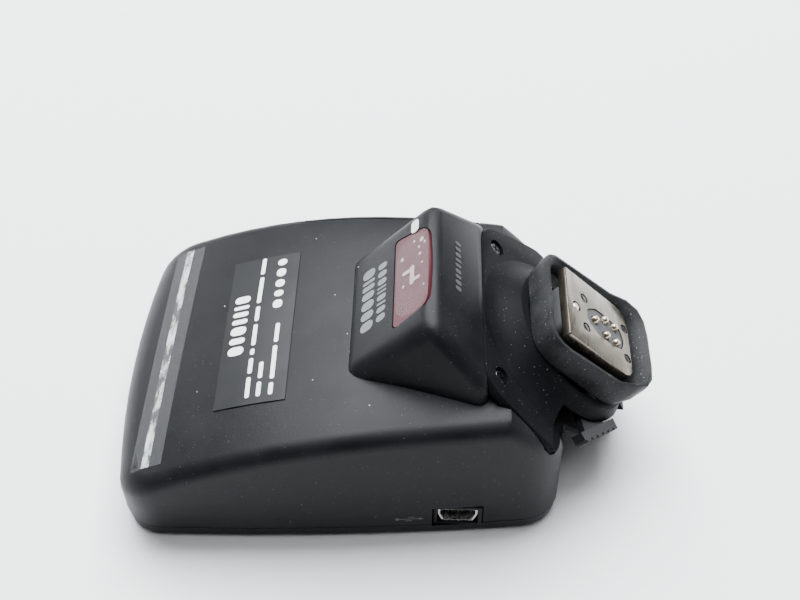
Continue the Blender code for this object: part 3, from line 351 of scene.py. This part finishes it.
def film_on_label(data, corners, steps_u, steps_v, lift, thick):
    """A film over the label face: corners are four (x, y) points, in order round it."""
    a, b, c, d = [Vector(corner) for corner in corners]
    layers = []
    for height in (lift, lift + thick):
        grid = []
        for i in range(steps_u + 1):
            u = i / steps_u
            row = []
            for j in range(steps_v + 1):
                v = j / steps_v
                point = a * (1 - u) * (1 - v) + b * u * (1 - v) + c * u * v + d * (1 - u) * v
                place, normal = skin_hit(point.x, point.y)
                row.append(data.verts.new(place + normal * height))
            grid.append(row)
        layers.append(grid)
    for grid in layers:
        for i in range(steps_u):
            for j in range(steps_v):
                data.faces.new((grid[i][j], grid[i + 1][j], grid[i + 1][j + 1], grid[i][j + 1]))
    rim = [(0, j) for j in range(steps_v)] + [(i, steps_v) for i in range(steps_u)]
    rim += [(steps_u, j) for j in range(steps_v, 0, -1)] + [(i, 0) for i in range(steps_u, 0, -1)]
    for (i0, j0), (i1, j1) in zip(rim, rim[1:] + rim[:1]):
        data.faces.new((layers[0][i0][j0], layers[0][i1][j1], layers[1][i1][j1], layers[1][i0][j0]))


def flat_prism(data, matrix, outline, low, high):
    """Extrude a flat outline of (x, y) points along a matrix's Z, into a bmesh."""
    layers = [[data.verts.new(matrix @ Vector((x, y, z))) for x, y in outline] for z in (low, high)]
    data.faces.new(layers[0][::-1])
    data.faces.new(layers[1])
    count = len(outline)
    for k in range(count):
        nxt = (k + 1) % count
        data.faces.new((layers[0][k], layers[0][nxt], layers[1][nxt], layers[1][k]))


def bar(centre_x, centre_y, half_x, half_y):
    """A rounded bar's outline: the stand-in for one printed word or letter."""
    radius = min(half_x, half_y) * 0.9
    points = []
    for quarter, (sx, sy) in enumerate(((1, 1), (-1, 1), (-1, -1), (1, -1))):
        for k in range(4):
            angle = math.radians(90.0 * quarter + 30.0 * k)
            points.append((centre_x + sx * (half_x - radius) + radius * math.cos(angle),
                           centre_y + sy * (half_y - radius) + radius * math.sin(angle)))
    return points


def tangent_frame(x, y, node="main_shell"):
    """A matrix on a node's skin at a point, Z along its normal and Y across the object."""
    place, normal = skin_hit(x, y, node)
    along = Vector((0.0, 1.0, 0.0)).cross(normal).normalized()
    matrix = Matrix((along, normal.cross(along), normal)).transposed().to_4x4()
    matrix.translation = place
    return matrix


def plane_point(matrix, x, y):
    """A copy of a plane's matrix moved along its own X and Y."""
    return matrix @ Matrix.Translation((x, y, 0.0))


def print_words(data, spot, start, half_height, gap, widths, lift):
    """A row of rounded bars running along Y; spot gives the surface frame at a Y place."""
    place = start
    for width in widths:
        flat_prism(data, spot(place + width / 2), bar(0.0, 0.0, half_height, width / 2), lift,
                   lift + INK_THICK)
        place += width + gap


def on_label(row_x):
    """The surface frame of a row on the rating label, as a function of Y."""
    return lambda y: tangent_frame(row_x, y, "rating_label")


def on_head(row_x):
    """The surface frame of a row on the window's plane, as a function of Y."""
    return lambda y: plane_point(WINDOW_PLANE, row_x, y)


def printed_marks():
    """Generic marks where the real one is printed: bars for words, never letters."""
    white = printed_film("mark_white", (0.80, 0.81, 0.80), 0.45)
    grey = printed_film("mark_grey", (0.15, 0.16, 0.16), 0.45)
    faint = printed_film("mark_faint", (0.045, 0.045, 0.047), 0.5)
    low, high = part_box("rating_label")
    middle = (low + high) / 2

    data = bmesh.new()
    print_words(data, on_label(middle.x - 0.0041), middle.y - 0.0072, 0.0017, 0.0008,
                (0.0023, 0.0016, 0.0023, 0.0013, 0.0013, 0.0010, 0.0020), LABEL_INK_LIFT)
    add_piece("label_title_mark", data, white)

    data = bmesh.new()
    line_start = -0.0188
    lines = ((-0.0006, (0.0052, 0.0040, 0.0016, 0.0058, 0.0042, 0.0078, 0.0050)),
             (0.0016, (0.0036, 0.0042)),
             (0.0040, (0.0030, 0.0086, 0.0052)))
    for offset, words in lines:
        print_words(data, on_label(middle.x + offset), line_start, 0.00045, 0.0009, words,
                    LABEL_INK_LIFT)
    print_words(data, on_label(middle.x + 0.0034), middle.y + 0.0042, 0.0010, 0.0010,
                (0.0024, 0.0018, 0.0022, 0.0024, 0.0020), LABEL_INK_LIFT)
    add_piece("label_small_marks", data, white)

    data = bmesh.new()
    print_words(data, on_head(-0.0118), -0.0080, 0.0017, 0.0005,
                (0.0026, 0.0022, 0.0024, 0.0020, 0.0014, 0.0009, 0.0026), HEAD_INK_LIFT)
    add_piece("head_title_mark", data, grey)

    data = bmesh.new()
    print_words(data, on_head(-0.0080), -0.0076, 0.0012, 0.0006,
                (0.0018, 0.0015, 0.0006, 0.0015, 0.0005, 0.0005, 0.0016, 0.0016, 0.0017),
                HEAD_INK_LIFT)
    add_piece("head_second_mark", data, grey)

    slope_x = mix(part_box("af_window")[1].x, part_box("foot_base")[0].x, 0.55)
    data = bmesh.new()
    print_words(data, lambda y: tangent_frame(slope_x, y), -0.0035, 0.0008, 0.0005,
                (0.0011, 0.0012, 0.0009, 0.0012, 0.0010, 0.0009, 0.0012, 0.0011, 0.0010),
                SLOPE_INK_LIFT)
    add_piece("slope_mark", data, faint)


def window_film():
    """The protective film on the window, its trapped bubbles and its pull tab."""
    clear = Graph("film_clear", (0.80, 0.74, 0.74), 0.12, Alpha=0.02, Specular_IOR_Level=0.2)
    clear.drive("Normal", clear.bump(clear.noise(420.0, 3.0), 0.00006, 0.7))
    data = bmesh.new()
    flat_prism(data, WINDOW_PLANE, bar(0.0001, 0.0, 0.0042, 0.0108), 0.00003, 0.00007)
    add_piece("window_film", data, clear.material)
    milky = Graph("film_bubble", (0.62, 0.52, 0.53), 0.5, Alpha=0.42)
    milky.drive("Roughness", milky.ramp(milky.noise(900.0), 0.3, 0.7, 0.4, 0.65))
    data = bmesh.new()
    bubbles = ((0.0026, 0.0078, 0.00050), (0.0034, 0.0066, 0.00030), (0.0019, 0.0061, 0.00028),
               (-0.0026, 0.0055, 0.00040), (0.0022, 0.0040, 0.00034), (0.0006, 0.0086, 0.00026),
               (-0.0021, -0.0024, 0.00030), (0.0028, 0.0012, 0.00024), (0.0033, -0.0052, 0.00022))
    for x, y, radius in bubbles:
        flat_prism(data, plane_point(WINDOW_PLANE, x, y), bar(0, 0, radius, radius * 1.2),
                   0.00008, 0.00010)
    add_piece("window_film_bubbles", data, milky.material)
    data = bmesh.new()
    crease = ((0.0002, -0.0006, 0.00055, 0.0026), (-0.0012, 0.0010, 0.0012, 0.0005),
              (0.0012, -0.0022, 0.0011, 0.00045))
    for x, y, half_x, half_y in crease:
        flat_prism(data, plane_point(WINDOW_PLANE, x, y), bar(0, 0, half_x, half_y), 0.00011, 0.00013)
    add_piece("window_film_crease", data, milky.material)
    tab = printed_film("film_tab", (0.62, 0.62, 0.60), 0.5)
    data = bmesh.new()
    flat_prism(data, plane_point(WINDOW_PLANE, 0.0008, 0.0128), bar(0, 0, 0.0010, 0.0018),
               0.00016, 0.00024)
    add_piece("window_film_tab", data, tab)


def sealing_tape():
    """A strip of clear tape across the label face near the far end, with old adhesive along it."""
    label_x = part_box("rating_label")[0].x
    shell_low, shell_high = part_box("main_shell")
    end_margin = 0.0045
    near, far = shell_low.y + end_margin, shell_high.y - end_margin
    outer, inner = label_x - 0.0142, label_x - 0.0080
    film = Graph("tape_film", (0.40, 0.41, 0.41), 0.20, Alpha=0.045, Specular_IOR_Level=0.4)
    film.drive("Normal", film.bump(film.noise(260.0, 3.0), 0.0001, 0.6))
    data = bmesh.new()
    film_on_label(data, [(outer - 0.0012, near), (inner - 0.0012, near), (inner, far), (outer, far)],
                  4, 26, 0.00004, 0.00006)
    add_piece("tape_strip", data, film.material)
    residue = Graph("tape_residue", (0.60, 0.61, 0.60), 0.7)
    broken = residue.ramp(residue.noise(420.0, 4.0, 0.6, (1.0, 0.35, 1.0)), 0.46, 0.62, 0.03, 0.75)
    residue.drive("Alpha", broken)
    data = bmesh.new()
    line = mix(outer, inner, 0.45)
    film_on_label(data, [(line - 0.0018, near), (line - 0.0002, near), (line + 0.0009, far),
                         (line - 0.0007, far)], 2, 26, 0.00012, 0.00003)
    add_piece("tape_adhesive", data, residue.material)


def side_pictogram():
    """A generic port mark on the side wall, left of the USB mouth: three lines, a dot and an arrow head."""
    port_low, port_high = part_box("usb_bezel")
    height = (port_low.z + port_high.z) / 2
    outside = Vector((port_low.x - 0.0048, port_low.y - 0.02, height))
    inward = Vector((0.0, 1.0, 0.0))
    hit, place, normal, _ = frame["nodes"]["main_shell"].ray_cast(outside, inward)
    if not hit:
        raise RuntimeError("no side wall beside the port")
    along = Vector((1.0, 0.0, 0.0))
    along = (along - normal * along.dot(normal)).normalized()
    matrix = Matrix((along, normal.cross(along), normal)).transposed().to_4x4()
    matrix.translation = place
    data = bmesh.new()
    line, dot = bar(0.0002, 0.0, 0.0020, 0.00011), bar(-0.0022, 0.0, 0.00042, 0.00042)
    arrow = [(0.0021, -0.0004), (0.0030, 0.0), (0.0021, 0.0004)]
    upper, lower = bar(0.0006, 0.00055, 0.0007, 0.00010), bar(0.0, -0.00055, 0.0007, 0.00010)
    shapes = (line, dot, arrow, upper, lower)
    for outline in shapes:
        flat_prism(data, matrix, outline, 0.00004, 0.00006)
    ink = printed_film("mark_port", (0.075, 0.075, 0.078), 0.5)
    add_piece("port_pictogram", data, ink)


def dust_specks():
    """A few bright specks of dust and fluff on the upper faces."""
    low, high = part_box("rating_label")
    head_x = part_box("af_window")[0].x
    spots = ((mix(high.x, head_x, 0.62), high.y * 0.62, 0.00022),
             (mix(high.x, head_x, 0.40), high.y * 0.30, 0.00012),
             (low.x - 0.0010, high.y * 0.40, 0.00016),
             (mix(high.x, head_x, 0.55), low.y * 0.25, 0.00014),
             (mix(high.x, head_x, 0.25), low.y * 0.80, 0.00012),
             (mix(high.x, head_x, 0.80), low.y * 1.15, 0.00013),
             (low.x - 0.0040, low.y * 0.70, 0.00012),
             (mix(high.x, head_x, 0.15), high.y * 1.20, 0.00012))
    data = bmesh.new()
    for x, y, radius in spots:
        flat_prism(data, tangent_frame(x, y), bar(0.0, 0.0, radius * 0.6, radius * 0.8), 0.00002, 0.00005)
    dust = printed_film("dust_white", (0.70, 0.70, 0.69), 0.7)
    add_piece("dust_specks", data, dust)


printed_marks()
window_film()
sealing_tape()
side_pictogram()
dust_specks()


def set_camera():
    """The photo's view: looking down at the USB side from a little above 45 degrees."""
    middle = (CAD_LOW + CAD_HIGH) / 2
    aim = Vector((middle.x + 0.0021, middle.y + 0.0196, CAD_HIGH.z * 0.333))
    pitch, yaw, roll = math.radians(45.1), math.radians(-0.88), math.radians(0.63)
    distance = 0.2954
    forward = Vector((math.sin(yaw) * math.cos(pitch), math.cos(yaw) * math.cos(pitch), -math.sin(pitch)))
    right = Vector((math.cos(yaw), -math.sin(yaw), 0.0))
    up = right.cross(forward)
    turned_right = right * math.cos(roll) + up * math.sin(roll)
    turned_up = up * math.cos(roll) - right * math.sin(roll)
    data = bpy.data.cameras.new("camera")
    data.lens = 61.2
    data.sensor_width = 36.0
    data.clip_start, data.clip_end = 0.01, 10.0
    camera = bpy.data.objects.new("camera", data)
    bpy.context.scene.collection.objects.link(camera)
    matrix = Matrix((turned_right, turned_up, -forward)).transposed().to_4x4()
    matrix.translation = aim - forward * distance
    camera.matrix_world = matrix
    bpy.context.scene.camera = camera


def set_light():
    """A pale floor, a pale world and three soft lamps."""
    size = 3.0
    data = bmesh.new()
    bmesh.ops.create_grid(data, x_segments=1, y_segments=1, size=size)
    for vert in data.verts:
        vert.co.z = CAD_LOW.z
    mesh = bpy.data.meshes.new("floor")
    data.to_mesh(mesh)
    data.free()
    floor = bpy.data.objects.new("floor", mesh)
    bpy.context.scene.collection.objects.link(floor)
    paper = Graph("floor_paper", (0.90, 0.90, 0.90), 0.9)
    mesh.materials.append(paper.material)

    world = bpy.data.worlds.new("studio")
    world.use_nodes = True
    background = world.node_tree.nodes["Background"]
    background.inputs["Color"].default_value = (1.0, 1.0, 1.0, 1.0)
    background.inputs["Strength"].default_value = 0.10
    bpy.context.scene.world = world

    lamps = (("rear_lamp", (-0.05, 0.52, 0.98), 1.10, 70.0), ("left_lamp", (-0.95, 0.80, 0.22), 0.70, 6.5),
             ("top_lamp", (0.10, -0.20, 1.20), 1.00, 8.0))
    for name, place, width, power in lamps:
        lamp = bpy.data.lights.new(name, "AREA")
        lamp.energy = power
        lamp.color = (0.94, 0.97, 1.0)
        lamp.size = width
        item = bpy.data.objects.new(name, lamp)
        bpy.context.scene.collection.objects.link(item)
        item.location = place
        item.rotation_euler = (-Vector(place)).to_track_quat("-Z", "Y").to_euler()


set_camera()
set_light()
